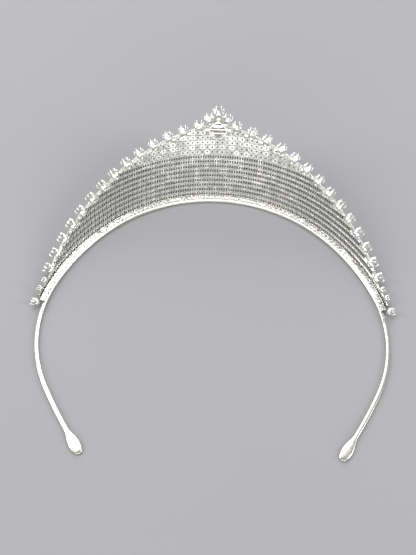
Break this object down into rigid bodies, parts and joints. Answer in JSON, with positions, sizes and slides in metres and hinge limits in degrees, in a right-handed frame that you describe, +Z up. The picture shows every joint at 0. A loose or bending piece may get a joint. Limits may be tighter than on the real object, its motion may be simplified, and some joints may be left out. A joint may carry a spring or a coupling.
{
  "type": "bridal tiara",
  "caption": "Horseshoe band with hammered tips carrying a leaning crescent panel of rhinestone cup chain, edged by claw-set stones.",
  "frame": {"origin": "centre of the band's front arc, on the plane that the band rests on", "axes": "+Z up, the wearer faces -Y, +X is the wearer's left"},
  "size_m": [0.1522, 0.1425, 0.0388],
  "materials": {
    "band_silver": "silver plate, softly polished",
    "silver_plate": "bright silver plate",
    "crystal": "clear cut crystal"
  },
  "bodies": {
    "root": {"base_rail": "silver_plate", "border_chain": "silver_plate", "border_stones": "crystal", "centre_left_collet": "silver_plate", "centre_left_stone": "crystal", "centre_right_collet": "silver_plate", "centre_right_stone": "crystal", "centre_top_collet": "silver_plate", "centre_top_stone": "crystal", "crest_collets_left": "silver_plate", "crest_collets_right": "silver_plate", "crest_rail": "silver_plate", "crest_stones_left": "crystal", "crest_stones_right": "crystal", "end_collets": "silver_plate", "end_stones": "crystal", "headband": "band_silver", "mesh_row_01": "silver_plate", "mesh_row_01_stones": "crystal", "mesh_row_02": "silver_plate", "mesh_row_02_stones": "crystal", "mesh_row_03": "silver_plate", "mesh_row_03_stones": "crystal", "mesh_row_04": "silver_plate", "mesh_row_04_stones": "crystal", "mesh_row_05": "silver_plate", "mesh_row_05_stones": "crystal", "mesh_row_06": "silver_plate", "mesh_row_06_stones": "crystal", "mesh_row_07": "silver_plate", "mesh_row_07_stones": "crystal", "mesh_row_08": "silver_plate", "mesh_row_08_stones": "crystal", "mesh_row_09": "silver_plate", "mesh_row_09_stones": "crystal", "mesh_row_10": "silver_plate", "mesh_row_10_stones": "crystal", "mesh_row_11": "silver_plate", "mesh_row_11_stones": "crystal", "mesh_row_12": "silver_plate", "mesh_row_12_stones": "crystal", "mesh_row_13": "silver_plate", "mesh_row_13_stones": "crystal", "mesh_row_14": "silver_plate", "pear_bars": "silver_plate", "pear_frame": "silver_plate", "pear_stone": "crystal", "tail_collets": "silver_plate", "tail_stones": "crystal"}
  },
  "joints": []
}
